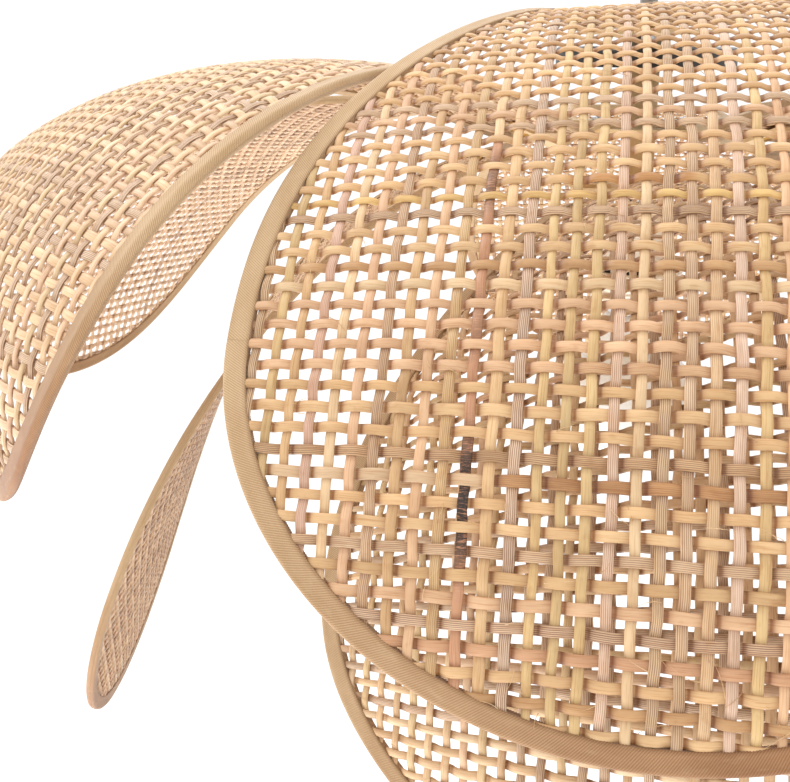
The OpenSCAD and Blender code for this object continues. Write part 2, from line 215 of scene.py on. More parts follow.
def noise(nt, vector, scale, detail, rough):
    n = node(nt, "ShaderNodeTexNoise", Vector=vector, Scale=scale, Detail=detail, Roughness=rough)
    return n.outputs["Fac"]


def darker(nt, base, share, by):
    """base, multiplied by a colour over the given share."""
    return mix(nt, share, base, mix(nt, 1.0, base, by, "MULTIPLY"))


def stretch(nt, vector, scale, rotation=(0, 0, 0)):
    return node(nt, "ShaderNodeMapping", Vector=vector, Scale=scale, Rotation=rotation).outputs[0]


def bump(nt, shader, height, strength, distance):
    n = node(nt, "ShaderNodeBump", Height=height, Strength=strength, Distance=distance)
    nt.links.new(n.outputs[0], shader.inputs["Normal"])


# ---------------------------------------------------------------- cane
NONE, ALL = (0, 0, 0), (1, 1, 1)              # of a share


def cane_material():
    """Split rattan: per-strand tint, fine grain along the strand, grooves, dark stain, and painted shade that
    makes the deep gaps darker and browner.
    Layer lay is (mm across, mm along, strand number), tint a colour, and a third layer of (grooved, stained,
    painted shade)."""
    m, nt, p = material("cane")
    lay, tint = layer(nt, "lay"), layer(nt, "tint")
    wear = node(nt, "ShaderNodeSeparateXYZ", Vector=layer(nt, "wear")).outputs
    grooved, stained, painted_shade = wear[0], wear[1], wear[2]
    grain = noise(nt, stretch(nt, lay, (2.6, 0.07, 5.3)), 1.0, 4.0, 0.65)
    fibre = noise(nt, stretch(nt, lay, (7.0, 0.12, 9.1)), 1.0, 2.0, 0.6)
    cross_marks = noise(nt, stretch(nt, lay, (0.35, 2.4, 3.7)), 1.0, 3.0, 0.7)
    slow = noise(nt, stretch(nt, lay, (0.1, 0.045, 2.9)), 1.0, 3.0, 0.6)
    knots = noise(nt, stretch(nt, lay, (0.25, 0.16, 7.7)), 1.0, 2.0, 0.5)
    base = mix(nt, ramp(nt, slow, (0.3, NONE), (0.72, ALL)),
               mix(nt, 1.0, tint, (0.82, 0.74, 0.66), "MULTIPLY"),
               mix(nt, 1.0, tint, (1.1, 1.1, 1.1), "MULTIPLY"))
    base = darker(nt, base, ramp(nt, grain, (0.34, ALL), (0.5, NONE)), (0.80, 0.68, 0.56))
    # warm brown patches where the cane was steamed
    base = darker(nt, base, ramp(nt, knots, (0.62, NONE), (0.75, (0.45, 0.45, 0.45))), (0.74, 0.60, 0.44))
    # grooves of a strand split from the core
    wave = node(nt, "ShaderNodeTexWave", Vector=stretch(nt, lay, (1.0, 0.012, 0.0)), Scale=0.55,
                Distortion=1.4, Detail=1.0, wave_type="BANDS", bands_direction="X").outputs["Fac"]
    line = ramp(nt, wave, (0.0, ALL), (0.35, (0.25, 0.25, 0.25)), (0.6, NONE))
    groove = maths(nt, "MULTIPLY", line, grooved)
    base = darker(nt, base, groove, (0.36, 0.24, 0.19))
    # stain: dark flecks across the strand
    fleck = ramp(nt, cross_marks, (0.50, ALL), (0.60, NONE))
    stain = maths(nt, "MULTIPLY", fleck, stained)
    base = darker(nt, base, maths(nt, "MULTIPLY", stained, 0.55, True), (0.50, 0.33, 0.24))
    base = mix(nt, maths(nt, "MULTIPLY", stain, 1.0, True), base, (0.022, 0.010, 0.005))
    # painted shade: darker and browner where a strand dives under its neighbour
    base = darker(nt, base, maths(nt, "MULTIPLY", painted_shade, 0.62, True), (0.40, 0.24, 0.12))
    nt.links.new(base, p.inputs["Base Color"])
    rough = maths(nt, "MULTIPLY_ADD", grain, 0.3)
    rough.node.inputs[2].default_value = 0.34
    nt.links.new(rough, p.inputs["Roughness"])
    p.inputs["Specular IOR Level"].default_value = 0.42
    p.inputs["Sheen Weight"].default_value = 0.08
    relief = maths(nt, "SUBTRACT", maths(nt, "MULTIPLY", grain, 0.4), maths(nt, "MULTIPLY", groove, 0.9))
    height = maths(nt, "ADD", maths(nt, "MULTIPLY", fibre, 0.35), relief)
    bump(nt, p, height, 0.55, 0.0003)
    return m


CANE = cane_material()
# straw, honey, tan, green-tan, pink-tan, pale, reddish, brown
TONES = np.array([srgb(208, 174, 130), srgb(204, 168, 123), srgb(200, 164, 118), srgb(198, 169, 121),
                  srgb(205, 168, 132), srgb(213, 184, 145), srgb(192, 152, 117), srgb(184, 145, 101)])
COMMON = np.array([0.22, 0.20, 0.16, 0.15, 0.12, 0.09, 0.02, 0.04])
GREY_PINK = np.array(srgb(200, 172, 145))
PAINTED_LIT_CANE = np.array(srgb(250, 230, 206))        # painted light: a paler cane colour, as if brightly lit
# painted light: how far each petal's cane is mixed towards the paler lit colour
PAINTED_LIGHT_SHARE = {"a": 0.0, "b": 0.28, "c": 0.62, "d": 0.40, "e": 0.16, "f": 0.10, "g": 0.20, "h": 0.12, "i": 0.12}


def strand_section(fine, width, thick):
    """Offsets (across, up) of a split cane's section, in mm: a domed skin over a flatter back."""
    if fine:
        shape = [(-0.5, -0.12), (-0.5, 0.10), (-0.36, 0.40), (-0.12, 0.52), (0.12, 0.52), (0.36, 0.40),
                 (0.5, 0.10), (0.5, -0.12), (0.36, -0.44), (-0.36, -0.44)]
    else:
        shape = [(-0.5, 0.0), (-0.34, 0.44), (0.34, 0.44), (0.5, 0.0), (0.3, -0.44), (-0.3, -0.44)]
    return np.array(shape) * (width, thick)


def strand_ends(kind, place, dd, inner):
    """Where a strand starts and ends, or None where it would be too short. inner is half the
    width inside the binding at each distance dd from the tip."""
    if kind == "long":
        inside = dd[inner > abs(place)]
        return None if len(inside) < 20 else (inside[0], inside[-1])
    if not dd[0] < place < dd[-1]:
        return None
    reach = float(np.interp(place, dd, inner))
    return None if reach < 8 else (-reach, reach)


def weave(name, petal, seed, fine, special, lit_share):
    """The two sets of strands of one petal, as two meshes: the long ones run from tip to neck.
    fine gives more points, and the last argument is how far the colour is mixed towards the paler cane
    colour, as painted light."""
    rng = np.random.default_rng(seed)
    dd = np.linspace(BIND_W * 0.45, PETAL_L - BIND_W * 0.45, 3000)
    inner = half_width(dd) - BIND_W * 0.55
    n_col, n_row = int(PETAL_HW / PITCH), int(PETAL_L / PITCH)
    for kind in ("long", "cross"):
        runs_long = kind == "long"
        points, quads, lay, tint, wear, count = [], [], [], [], [], 0
        # steps per pitch, cane's width and thickness, and how far and how abruptly it goes over and under
        per = {("long", True): 5, ("long", False): 4, ("cross", True): 10, ("cross", False): 5}[kind, fine]
        width, thick, swing, hard = (3.12, 1.45, 0.40, 1.1) if runs_long else (3.38, 1.34, 0.66, 1.7)
        for k in range(-n_col, n_col + 1) if runs_long else range(n_row + 1):
            place = k * PITCH + (0 if runs_long else FIRST_ROW)
            ends = strand_ends(kind, place, dd, inner)
            if not ends:
                continue
            lo, hi = ends
            n = max(4, int((hi - lo) / PITCH * per))
            s = np.linspace(lo, hi, n)
            wide = 1 + 0.05 * rng.standard_normal()
            tone = rng.choice(len(TONES), p=COMMON)
            colour = TONES[tone] * (1 + 0.045 * rng.standard_normal())
            grooves = 0.0 if rng.random() > 0.24 else 0.55 + 0.45 * rng.random()
            if grooves:
                colour = colour * 0.35 + GREY_PINK * 0.65
            colour = np.broadcast_to(colour, (n, 3))
            share, stain = np.ones((n, 1)), np.zeros(n)
            extra = special.get((kind, k))
            if extra:
                low, high = extra.get("span", (-PETAL_L, 2 * PETAL_L))
                share = (np.clip((s - low) / 4, 0, 1) * np.clip((high - s) / 4, 0, 1))[:, None]
                colour = np.array(extra["colour"]) * share + colour * (1 - share)
                grooves = extra.get("grooves", 0.0)
                wide = extra.get("wide", wide)
                for centre, reach, depth in extra.get("stain", ()):
                    stain = np.maximum(stain, depth * np.exp(-((s - centre) / reach) ** 4))
            # painted light: the whole petal's cane made paler, as if more brightly lit
            colour = colour * (1 - lit_share) + PAINTED_LIT_CANE * lit_share
            tone_drift = 1 + wander(rng, s, 0.05, 90)
            off = wander(rng, s, 0.22, 60) + wander(rng, s, 0.10, 17)
            phase = np.cos(PI * ((s - FIRST_ROW) / PITCH + k)) if runs_long else -np.cos(PI * (s / PITCH + k))
            lift = swing * np.tanh(hard * phase) / math.tanh(hard)
            shape = strand_section(fine, width * wide, thick)
            kk = len(shape)
            w = np.tile(shape[:, 0], (n, 1))
            along = np.repeat(s[:, None], kk, 1)
            across = place + off[:, None] + w * (1 + wander(rng, s, 0.03, 40)[:, None])
            u, d = (across, along) if runs_long else (along, across)
            points.append(petal.at(u, d, lift[:, None] + shape[:, 1]).reshape(-1, 3))
            quads.append(tube_quads(n, kk) + count)
            number = k + (0.0 if runs_long else 500.0)
            lay.append(np.stack([w, along + 37.0 * k, np.full(w.shape, number)], -1).reshape(-1, 3))
            tint.append(np.repeat(colour * tone_drift[:, None], kk, 0))
            # painted shade where the strand dives under its neighbour
            painted_shade = np.clip(-phase, 0, 1) ** 1.5
            if not runs_long:
                # painted shade in the notch beside each column that a row comes out from under
                past = (s - PITCH * k + PITCH) % (2 * PITCH) - PITCH
                painted_shade = np.maximum(0.7 * painted_shade, 1.5 * np.exp(-((past - 2.45) / 0.62) ** 2)
                                  + 0.5 * np.exp(-((past - 3.0) / 1.5) ** 2))
            wear.append(np.repeat(np.stack([grooves * share[:, 0], stain, painted_shade], 1), kk, 0))
            count += n * kk
        ob = put_mesh(f"petal_{name}_strands_{kind}", np.concatenate(points), np.concatenate(quads), "lamp",
                      "cane_webbing", CANE, lay=np.concatenate(lay), tint=np.concatenate(tint),
                      wear=np.concatenate(wear))
        if runs_long:
            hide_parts(f"petal_{name}_web")


# ---------------------------------------------------------------- bound edges
def tape_material():
    """Twill tape folded over the edge. Layer lay is (mm across, mm along, seed), and a third layer of
    (painted shade at the inner edge, painted shade that makes the tape browner and darker, 0)."""
    m, nt, p = material("edge_tape")
    lay = layer(nt, "lay")
    wear = node(nt, "ShaderNodeSeparateXYZ", Vector=layer(nt, "wear")).outputs
    turned = stretch(nt, lay, (1.0, 1.0, 0.0), (0, 0, 0.9))
    twill = node(nt, "ShaderNodeTexWave", Vector=turned, Scale=0.43, Distortion=0.5, Detail=1.0,
                 wave_type="BANDS", bands_direction="X").outputs["Fac"]
    yarn = noise(nt, stretch(nt, lay, (3.2, 3.2, 1.0)), 1.0, 2.0, 0.7)
    slow = noise(nt, stretch(nt, lay, (0.12, 0.03, 1.9)), 1.0, 3.0, 0.55)
    soft = noise(nt, stretch(nt, lay, (0.35, 0.12, 4.1)), 1.0, 2.0, 0.5)
    # painted shade: the tape mixed towards a darker brown where the binding marks it shaded
    base = mix(nt, wear[1], ramp(nt, slow, (0.32, srgb(196, 168, 130)), (0.68, srgb(208, 184, 150))),
               ramp(nt, slow, (0.32, srgb(142, 101, 69)), (0.68, srgb(162, 120, 85))))
    base = darker(nt, base, ramp(nt, twill, (0.25, (0.8, 0.8, 0.8)), (0.65, NONE)), (0.72, 0.63, 0.54))
    base = darker(nt, base, ramp(nt, yarn, (0.42, (0.5, 0.5, 0.5)), (0.62, NONE)), (0.78, 0.70, 0.62))
    base = mix(nt, ramp(nt, soft, (0.58, NONE), (0.8, (0.16, 0.16, 0.16))), base, srgb(214, 188, 152))
    # painted shade along the tape's inner edge, where it meets the webbing
    base = darker(nt, base, maths(nt, "MULTIPLY", wear[0], 0.5), (0.45, 0.33, 0.24))
    nt.links.new(base, p.inputs["Base Color"])
    rough = maths(nt, "MULTIPLY_ADD", yarn, 0.2)
    rough.node.inputs[2].default_value = 0.72
    nt.links.new(rough, p.inputs["Roughness"])
    p.inputs["Specular IOR Level"].default_value = 0.25
    p.inputs["Sheen Weight"].default_value = 0.25
    p.inputs["Sheen Roughness"].default_value = 0.4
    height = maths(nt, "ADD", maths(nt, "MULTIPLY", twill, 0.7), maths(nt, "MULTIPLY", yarn, 0.5))
    bump(nt, p, height, 0.5, 0.0002)
    return m


TAPE = tape_material()


def outline(step):
    """The petal's outline: points (u, d) a given distance apart, their inward normals, and how far
    along they lie."""
    a = np.linspace(-PI / 2, PI / 2, 400)
    tip = np.stack([PETAL_HW * np.sin(a), TIP_L * (1 - np.cos(a))], 1)
    dd = np.linspace(TIP_L, PETAL_L - NECK_ROUND, 300)[1:]
    right = np.stack([half_width(dd), dd], 1)
    c = np.linspace(0, PI / 2, 12)
    corner = np.stack([NECK_HW + NECK_ROUND * (np.cos(c) - 1), PETAL_L + NECK_ROUND * (np.sin(c) - 1)], 1)
    across = np.linspace(NECK_HW - NECK_ROUND, NECK_ROUND - NECK_HW, 40)[1:-1]
    across = np.stack([across, np.full(len(across), PETAL_L)], 1)
    left = right[::-1] * (-1, 1)
    path = np.concatenate([tip, right, corner[1:], across, (corner * (-1, 1))[::-1][:-1], left[:-1]])
    path = np.concatenate([path, path[:1]])
    length = np.concatenate([[0], np.cumsum(np.linalg.norm(np.diff(path, axis=0), axis=1))])
    n = int(length[-1] / step)
    s = np.linspace(0, length[-1], n + 1)[:-1]
    p = np.stack([np.interp(s, length, path[:, i]) for i in (0, 1)], 1)
    ahead = np.roll(p, -1, 0) - np.roll(p, 1, 0)
    for _ in range(3):
        ahead = (np.roll(ahead, 1, 0) + ahead + np.roll(ahead, -1, 0)) / 3
    ahead /= np.linalg.norm(ahead, axis=1)[:, None]
    return p, np.stack([-ahead[:, 1], ahead[:, 0]], 1), s


def binding(name, petal, seed, fine):
    """The tape round a petal, over an edge cane, puckered; fine gives its free edge the twill's teeth."""
    rng = np.random.default_rng(seed)
    path, inward, s = outline(0.45 if fine else 1.6)
    n = len(path)
    top = BIND_T / 2
    # (distance in from the edge, height): a rounded edge cane under the tape, then the flat of the tape
    half = [(0.0, 0.0), (0.12, 0.45), (0.45, 0.78), (1.1, 0.98), (2.0, 1.0), (3.2, 0.90), (4.8, 0.80),
            (6.4, 0.74), (7.5, 0.70), (BIND_W, 0.56), (BIND_W - 0.25, 0.34)]
    shape = np.array([(x, y * top) for x, y in half] + [(x, -y * top) for x, y in half[:0:-1]])
    k = len(shape)
    turn = s / (s[-1] + s[1] - s[0]) * 2 * PI
    waves, puckers = (sum(np.sin(turn * f + rng.random() * 6.3) for f in each) / len(each)
                      for each in ((5, 9, 14, 23), (61, 97, 143)))
    teeth = 0.22 * (2 * np.abs((s / 0.9) % 1 - 0.5)) if fine else np.zeros(n)
    w, h = np.tile(shape[:, 0], (n, 1)), np.tile(shape[:, 1], (n, 1))
    share = w / BIND_W
    w = w + share ** 2 * (0.25 * waves + 0.10 * puckers)[:, None] - (share > 0.9) * teeth[:, None]
    h = h * (1 + 0.05 * waves[:, None] + 0.035 * puckers[:, None] * (share > 0.2))
    u = path[:, 0][:, None] + inward[:, 0][:, None] * w
    d = path[:, 1][:, None] + inward[:, 1][:, None] * w
    girth = np.concatenate([[0], np.cumsum(np.linalg.norm(np.diff(shape, axis=0), axis=1))])
    lay = np.stack([np.tile(girth, (n, 1)), np.repeat(s[:, None], k, 1), np.full((n, k), float(seed))], -1)
    # painted shade along the tape's inner edge
    edge = np.clip((share - 0.86) / 0.14, 0, 1)
    # painted shade: browner and darker towards the tip and to one side, less on the petals with more painted
    # light
    brown = np.clip((150 - d) / 110, 0, 1) * np.clip(0.65 + 0.5 * u / PETAL_HW, 0, 1) + 0.15
    wear = np.stack([edge, brown * (1 - 0.5 * PAINTED_LIGHT_SHARE[name]), 0 * edge], -1)
    ob = put_mesh(f"petal_{name}_tape", petal.at(u, d, h).reshape(-1, 3), tube_quads(n, k, True), "lamp",
                  "edge_tape", TAPE, lay=lay, wear=wear)
    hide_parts(f"petal_{name}_binding")


# strands of the front petal that stand out: a stained red-brown one, grooved grey-pink ones, brown rows.
# span is the stretch that has the colour, and stain has rows of (centre, reach, depth), in mm.
SPECIAL = {
    ("long", -15): {"colour": srgb(203, 168, 146), "grooves": 0.35},
    ("long", -13): {"colour": srgb(203, 165, 131)},
    ("long", -9): {"colour": srgb(198, 166, 122), "grooves": 0.5},
    ("long", -8): {"colour": srgb(184, 138, 106), "wide": 1.04, "span": (-9, 207),
                   "stain": ((73, 21, 1.0), (184, 13, 0.55), (128, 12, 0.3), (262, 20, 0.2))},
    ("long", -6): {"colour": srgb(208, 182, 158), "grooves": 1.0, "wide": 1.06},
    ("long", -2): {"colour": srgb(212, 182, 158), "grooves": 0.7},
    ("long", 2): {"colour": srgb(206, 174, 136), "grooves": 0.45},
    ("long", 3): {"colour": srgb(212, 184, 162), "grooves": 0.4},
    ("cross", 4): {"colour": srgb(188, 145, 110)},
    ("cross", 11): {"colour": srgb(172, 128, 84), "grooves": 0.3, "span": (-52, 62)},
    ("cross", 12): {"colour": srgb(190, 156, 118), "grooves": 0.8},
    ("cross", 16): {"colour": srgb(190, 152, 114), "grooves": 0.2, "span": (-30, 60)},
    ("cross", 25): {"colour": srgb(206, 172, 112)},
    ("cross", 26): {"colour": srgb(180, 134, 84), "span": (-34, 10)},
}


def fibres(name, petal, seed, count):
    """Loose splinters and hairs that stand off the cane."""
    rng = np.random.default_rng(seed)
    n, sides = 7, 4
    points, quads, lay, tint = [], [], [], []
    ring = np.linspace(0, 2 * PI, sides + 1)[:-1]
    for k in range(count):
        d0 = 14 + 380 * rng.random() ** 1.3
        u0 = float(half_width(d0) - 12) * (2 * rng.random() - 1)
        heading, length, bow = rng.random() * 2 * PI, 4 + 9 * rng.random(), 0.6 * rng.standard_normal()
        t = np.linspace(0, 1, n)
        u = u0 + length * t * math.cos(heading) - bow * length * t * t * math.sin(heading)
        d = d0 + length * t * math.sin(heading) + bow * length * t * t * math.cos(heading)
        h = 1.1 + 1.5 * rng.random() * np.sin(PI * (0.15 + 0.75 * t))
        r = 0.13 * (1 - 0.75 * t)
        u, d = np.clip(u, -half_width(d) + 9, half_width(d) - 9), np.clip(d, 9, PETAL_L - 9)
        side = (-math.sin(heading), math.cos(heading))
        uu = u[:, None] + r[:, None] * np.cos(ring) * side[0]
        vv = d[:, None] + r[:, None] * np.cos(ring) * side[1]
        hh = h[:, None] + r[:, None] * np.sin(ring)
        points.append(petal.at(uu, vv, hh).reshape(-1, 3))
        quads.append(tube_quads(n, sides) + sides * n * k)
        lay.append(np.stack([uu, vv, np.full(uu.shape, 900.0 + k)], -1).reshape(-1, 3))
        tint.append(np.tile(TONES[rng.choice([0, 2, 5, 7])], (sides * n, 1)))
    put_mesh(f"petal_{name}_fibres", np.concatenate(points), np.concatenate(quads), "lamp", "cane_webbing",
             CANE, lay=np.concatenate(lay), tint=np.concatenate(tint), wear=np.zeros((sides * n * count, 3)))


for number, (key, row) in enumerate(PETALS.items()):
    petal, front = Petal(*row), key == "a"
    weave(key, petal, 100 + number, front, SPECIAL if front else {}, PAINTED_LIGHT_SHARE[key])
    binding(key, petal, 200 + number, front)
    fibres(key, petal, 300 + number, 110 if front else 24)


# ---------------------------------------------------------------- finishes of the hub, lampholder and bulb
def finish(name, colour, rough, metal=0.0, grain=900.0, depth=0.15, mottle=0.12, scale=60.0, pull=(1, 1, 1),
           scuff=None, **fixed):
    """A finish with slow mottling, fine grain in its roughness and bump, and scuffs of another colour.
    Lengths are per metre. fixed sets other inputs of the shader."""
    m, nt, p = material(name)
    place = stretch(nt, nt.nodes.new("ShaderNodeTexCoord").outputs["Object"], pull)
    fine = noise(nt, place, grain, 3.0, 0.6)
    slow = noise(nt, place, scale, 4.0, 0.55)
    dim, bright = (tuple(c * (1 + k * mottle) for c in colour) for k in (-1, 1))
    base = ramp(nt, slow, (0.34, dim), (0.66, bright))
    if scuff:
        worn = ramp(nt, noise(nt, place, scale * 5, 6.0, 0.75), (0.66, (0, 0, 0)), (0.74, (0.8, 0.8, 0.8)))
        base = mix(nt, worn, base, scuff)
    nt.links.new(base, p.inputs["Base Color"])
    spread = maths(nt, "MULTIPLY_ADD", maths(nt, "ADD", fine, slow), 0.22)
    spread.node.inputs[2].default_value = rough - 0.22
    nt.links.new(spread, p.inputs["Roughness"])
    p.inputs["Metallic"].default_value = metal
    for key, value in fixed.items():
        p.inputs[key.replace("_", " ")].default_value = value
    bump(nt, p, fine, depth, 0.0002)
    return m


ZINC = finish("zinc_plate", (0.60, 0.61, 0.63), 0.36, 1.0, grain=1500, depth=0.12, mottle=0.12, scale=300,
              scuff=(0.42, 0.42, 0.43))
BRASS = finish("brass", (0.70, 0.50, 0.22), 0.32, 1.0, grain=1100, depth=0.12, mottle=0.15, scale=120,
               scuff=(0.44, 0.28, 0.12))
IVORY = finish("ivory_bakelite", (0.72, 0.64, 0.52), 0.36, grain=1200, depth=0.06, mottle=0.04,
               scuff=(0.60, 0.52, 0.40), Coat_Weight=0.3, Coat_Roughness=0.15)
CAP_METAL = finish("bulb_cap_metal", (0.68, 0.69, 0.71), 0.30, 1.0, grain=900, depth=0.1, mottle=0.08,
                   pull=(1, 1, 0.1), scuff=(0.52, 0.52, 0.53))
WHITE = finish("white_plastic", (0.80, 0.79, 0.76), 0.38, grain=1400, depth=0.08, mottle=0.03,
               scuff=(0.72, 0.70, 0.66))
OPAL = finish("opal_glass", (0.78, 0.76, 0.71), 0.30, grain=600, depth=0.02, mottle=0.02,
              Coat_Weight=0.4, Coat_Roughness=0.08)
INSULATOR = finish("black_glass", (0.012, 0.012, 0.014), 0.22, grain=800, depth=0.06, mottle=0.3,
                   Coat_Weight=0.6)
FINISHES = {
    "sand_powder_coat": finish("sand_powder_coat", srgb(202, 172, 128), 0.62, grain=2600, depth=0.35,
                               mottle=0.06, scuff=srgb(188, 156, 112)),
    "black_metal": finish("black_satin_paint", (0.018, 0.017, 0.016), 0.42, grain=1800, depth=0.2,
                          mottle=0.3, scuff=(0.05, 0.048, 0.045)),
    "black_bakelite": finish("black_bakelite", (0.016, 0.015, 0.014), 0.34, grain=1200, depth=0.08,
                             mottle=0.25, scuff=(0.035, 0.032, 0.03), Coat_Weight=0.3, Coat_Roughness=0.15),
    "rubber": finish("rubber", (0.022, 0.021, 0.02), 0.82, grain=2200, depth=0.3, mottle=0.2),
    "ceramic": finish("glazed_ceramic", (0.80, 0.77, 0.69), 0.26, grain=1000, depth=0.05, mottle=0.05,
                      scuff=(0.66, 0.62, 0.53), Coat_Weight=0.5),
    "ivory_bakelite": IVORY, "zinc_steel": ZINC, "brass": BRASS, "bulb_cap_metal": CAP_METAL,
    "white_plastic": WHITE, "opal_glass": OPAL, "cane_webbing": CANE, "edge_tape": TAPE,
}
for part in frame["record"]["subparts"]:
    mesh = frame["nodes"][part["node"]].data
    mesh.materials.clear()
    mesh.materials.append(INSULATOR if part["node"] == "bulb_insulator" else FINISHES[part["material_slot"]])


# ---------------------------------------------------------------- turned and threaded pieces
def lathe(name, profile, body, slot, finish_used, node_name, around=96, thread=None, ribs=None):
    """Sweeps a closed profile of (radius, z) in mm about the lamp's axis. thread is (z from, z to, radius,
    depth, pitch) on its outer face; ribs is (least radius, number, depth)."""
    fine = []
    for (r0, z0), (r1, z1) in zip(profile, profile[1:] + profile[:1]):
        n = 1
        if thread:
            low, high, radius, depth, pitch = thread
            if (min(z0, z1) >= low - 0.01 and max(z0, z1) <= high + 0.01
                    and abs(r0 - radius) < 0.01 and abs(r1 - radius) < 0.01):
                n = max(1, int(abs(z1 - z0) / pitch * 8))
        fine += [(r0 + (r1 - r0) * i / n, z0 + (z1 - z0) * i / n, n > 1) for i in range(n)]
    fine = np.array(fine)
    turn = np.linspace(0, 2 * PI, around + 1)[:-1][:, None]
    r, z = (np.tile(fine[:, i], (around, 1)) for i in (0, 1))
    if thread:
        fade = np.clip(np.minimum(z - low, high - z) / pitch, 0, 1)
        r = r + fine[:, 2] * depth * fade * (0.5 * np.cos(2 * PI * z / pitch - turn) - 0.5)
    if ribs:
        least, number, height = ribs
        r = r - (r > least) * height * (0.5 - 0.5 * np.cos(number * turn)) ** 2
    points = np.stack([r * np.cos(turn), r * np.sin(turn), z], -1).reshape(-1, 3) * MM
    ob = put_mesh(name, points, tube_quads(around, len(fine), True), body, slot, finish_used)
    ob.data.set_sharp_from_angle(angle=math.radians(38))
    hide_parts(node_name)


def arc(centre, radius, start, end, n):
    """n points on an arc of a profile, angles in degrees."""
    return [(centre[0] + radius * math.cos(math.radians(a)), centre[1] + radius * math.sin(math.radians(a)))
            for a in np.linspace(start, end, n)]


STEM_TOP, STEM_END = -14.0, -152.0
lathe("stem_threaded_tube",
      [(5.0, STEM_TOP - 0.5), (4.6, STEM_TOP), (3.5, STEM_TOP), (3.5, STEM_END), (4.6, STEM_END),
       (5.0, STEM_END + 0.5)],
      "lamp", "zinc_steel", ZINC, "stem_tube", 40, (STEM_END + 0.5, STEM_TOP - 0.5, 5.0, 0.45, 1.0))
lathe("holder_cap_shell",
      [(5.1, -150.0), (5.1, -140.8), (5.6, -140.3), (11.0, -140.3)] + arc((12, -150), 8, 86, 4, 10)
      + [(20.0, -151.0), (20.0, -163.6), (19.6, -164.0), (18.0, -164.0), (18.0, -151.0)],
      "lamp", "ivory_bakelite", IVORY, "holder_cap")
lathe("holder_skirt",
      [(20.0, -164.3), (20.0, -173.0), (21.0, -173.2), (21.2, -173.5), (21.2, -175.3), (20.9, -175.6),
       (19.4, -175.7), (19.4, -195.4), (19.0, -195.95), (17.4, -195.95), (17.0, -195.5),
       (17.0, -164.3), (17.3, -164.05), (19.7, -164.05)],
      "lamp", "ivory_bakelite", IVORY, "holder_body", 96, (-195.4, -175.7, 19.4, 0.5, 2.5))
lathe("shade_ring_ribbed",
      [(19.8, -177.9), (20.1, -177.55), (26.2, -177.5)] + arc((26.5, -179.0), 1.5, 80, -80, 9)
      + [(26.2, -180.5), (24.1, -180.6), (23.75, -180.9), (23.75, -184.1), (23.4, -184.5), (20.2, -184.5),
         (19.8, -184.1)],
      "ring", "ivory_bakelite", IVORY, "shade_ring", 288, None, (23.6, 48, 0.45))
lathe("threaded_shell",
      [(14.15, -193.9), (14.15, -172.1), (13.9, -172.05), (9.0, -172.05), (9.0, -172.8), (13.3, -172.85),
       (13.35, -173.2), (13.35, -193.9), (13.75, -194.0)],
      "lamp", "brass", BRASS, "screw_shell")
lathe("bulb_threaded_cap",
      [(13.0, -181.6), (12.4, -180.8), (11.6, -180.5), (7.0, -180.5), (7.0, -181.3), (11.4, -181.4),
       (12.0, -182.2), (12.0, -203.4), (12.9, -203.5), (13.0, -203.2)],
      "bulb", "bulb_cap_metal", CAP_METAL, "bulb_screw_cap", 96, (-203.2, -181.6, 13.0, 0.9, 3.629))
lathe("bulb_heat_collar",
      [(8.0, -223.45), (8.0, -197.6), (8.3, -197.5), (11.9, -197.5), (12.2, -198.0), (12.2, -203.6),
       (15.0, -205.5), (16.6, -208.6), (19.2, -213.4), (23.6, -222.3), (24.0, -223.1), (23.8, -223.5)],
      "bulb", "white_plastic", WHITE, "bulb_collar", 192, None, (15.5, 32, 0.35))
GLOBE_Z, GLOBE_R, GLOBE_IN, MOUTH_Z = -257.5, 40.0, 38.6, 33.95
lathe("bulb_opal_globe",
      arc((0, GLOBE_Z), GLOBE_R, math.degrees(math.asin(MOUTH_Z / GLOBE_R)), -89.97, 60)
      + arc((0, GLOBE_Z), GLOBE_IN, -89.97, math.degrees(math.asin(MOUTH_Z / GLOBE_IN)), 60),
      "bulb", "opal_glass", OPAL, "bulb_globe")


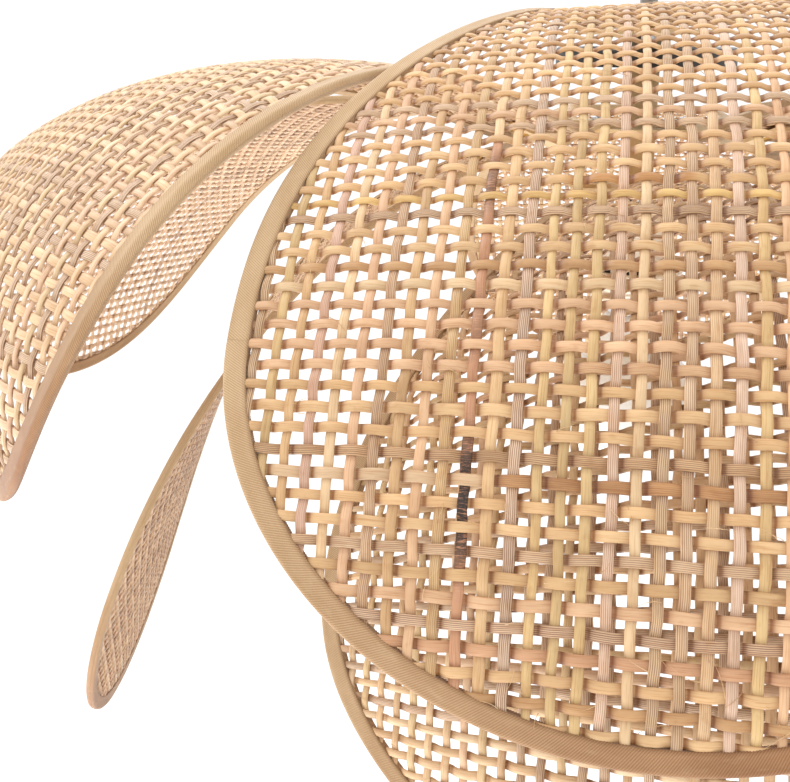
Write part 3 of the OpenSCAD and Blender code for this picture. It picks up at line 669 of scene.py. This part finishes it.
def screws():
    """Pan-head screws with a cross recess, and chamfered nuts, that hold the arms to their plates."""
    around, plate_half, arm_t, nut_flat, screw_out = 48, 1.25, 2.0, 3.46, 25.0
    points, quads, count = [], [], 0
    turn = np.linspace(0, 2 * PI, around + 1)[:-1][:, None]
    radii = np.array([0.25, 0.5, 0.75, 1.0, 1.25, 1.5, 1.75, 2.0, 2.3, 2.7, 3.1, 3.4, 3.6, 3.7, 3.7, 3.5,
                      2.0, 2.0])
    nut_r = np.array([2.05, 3.5, 3.95, 3.95, 3.5, 2.05])
    sector = (turn + PI / 6) % (PI / 3) - PI / 6
    hexed = np.minimum(nut_r, np.where(nut_r > 3.6, nut_flat / np.cos(sector), nut_r))
    r = np.tile(radii, (around, 1))
    cross = np.minimum(np.abs(r * np.cos(turn)), np.abs(r * np.sin(turn))) < 0.42
    recess = 1.0 * ((cross & (r < 2.1)) | (r < 0.8)) * (np.arange(len(radii)) < 12)
    for key, row in PETALS.items():
        plate_z = -47.0 if key == "a" else (-98.0 if key in "bcfgi" else -132.0)
        head = plate_z + plate_half + arm_t + 0.1
        dome = head + 2.4 - 0.062 * radii ** 2
        dome[-5:] = (head + 1.2, head + 0.25, head, head, plate_z - 4.0)
        nut_z = plate_z - plate_half - 0.05 - np.array([0.0, 0.0, 0.35, 2.05, 2.4, 2.4])
        heading = math.radians(row[0])
        for rr, zz, closed in ((r, dome - recess, False), (hexed, np.tile(nut_z, (around, 1)), True)):
            pts = np.stack([rr * np.cos(turn) - screw_out * math.sin(heading),
                            rr * np.sin(turn) - screw_out * math.cos(heading), zz], -1)
            k = pts.shape[1]
            i, j = np.meshgrid(np.arange(around), np.arange(k if closed else k - 1), indexing="ij")
            i2, j2 = (i + 1) % around, (j + 1) % k
            q = [np.stack([i * k + j, i2 * k + j, i2 * k + j2, i * k + j2], -1).reshape(-1, 4)]
            if not closed:
                m = np.arange(around // 2 - 1)
                fan = np.stack([m, around - 1 - m, around - 2 - m, m + 1], 1) * k
                q += [fan, (fan + k - 1)[:, ::-1]]
            points.append(pts.reshape(-1, 3) * MM)
            quads.append(np.concatenate(q) + count)
            count += around * k
    ob = put_mesh("arm_pan_screws", np.concatenate(points), np.concatenate(quads), "lamp", "zinc_steel", ZINC)
    ob.data.set_sharp_from_angle(angle=math.radians(30))
    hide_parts("arm_screws")


screws()


# ---------------------------------------------------------------- floor, light, camera
FLOOR_Z = -1.75


def studio():
    """A wide pale floor that curves up into a backdrop far behind the lamp."""
    m, _, p = material("pale_floor")
    p.inputs["Base Color"].default_value = (0.94, 0.94, 0.94, 1)
    p.inputs["Roughness"].default_value = 0.9
    x = np.linspace(-14, 14, 9)
    bend = [(3.0 + 5.0 * math.sin(a), 5.0 - 5.0 * math.cos(a)) for a in np.linspace(0.15, PI / 2, 12)]
    profile = [(-14.0, 0.0), (3.0, 0.0)] + bend + [(8.0, 14.0)]
    points = [[xx, y, z + FLOOR_Z] for y, z in profile for xx in x]
    quads = [[i * 9 + j, i * 9 + j + 1, (i + 1) * 9 + j + 1, (i + 1) * 9 + j]
             for i in range(len(profile) - 1) for j in range(8)]
    me = bpy.data.meshes.new("floor")
    me.from_pydata(points, [], quads)
    me.materials.append(m)
    for f in me.polygons:
        f.use_smooth = True
    ob = bpy.data.objects.new("floor", me)
    bpy.context.scene.collection.objects.link(ob)


def area_light(name, place, aim, size, power, colour=(1, 1, 1)):
    """A round light of a given diameter in metres and power in watts, aimed at a point."""
    data = bpy.data.lights.new(name, "AREA")
    data.shape, data.size, data.energy, data.color = "DISK", size, power, colour
    ob = bpy.data.objects.new(name, data)
    bpy.context.scene.collection.objects.link(ob)
    ob.location = place
    ob.rotation_mode = "QUATERNION"
    ob.rotation_quaternion = (Vector(aim) - Vector(place)).to_track_quat("-Z", "Y")


studio()
area_light("key", (-1.9, 0.9, 2.4), (-0.1, -0.1, -0.2), 1.8, 70, (1.0, 0.985, 0.96))
area_light("front", (-0.9, -2.4, 1.2), (0, -0.2, -0.2), 2.2, 18, (1.0, 0.99, 0.97))
area_light("side", (2.4, -1.6, 0.8), (0, -0.2, -0.2), 2.5, 18)
area_light("back", (0.6, 2.6, 1.6), (0, 0, -0.2), 2.5, 22)
area_light("under", (-0.9, -0.5, -1.5), (-0.25, 0, -0.2), 1.6, 34)
world = bpy.data.worlds.new("studio")
bpy.context.scene.world = world
world.use_nodes = True
world.node_tree.nodes["Background"].inputs["Color"].default_value = (1, 1, 1, 1)
world.node_tree.nodes["Background"].inputs["Strength"].default_value = 1.08

cam = bpy.data.objects.new("camera", bpy.data.cameras.new("camera"))
bpy.context.scene.collection.objects.link(cam)
cam.location = (-0.1379, -0.6783, -0.045)
cam.rotation_euler = (math.radians(73), 0, 0)
cam.data.lens, cam.data.sensor_width = 54.1, 36
cam.data.clip_start, cam.data.clip_end = 0.01, 60
bpy.context.scene.camera = cam
bpy.context.scene.view_settings.view_transform = "Standard"
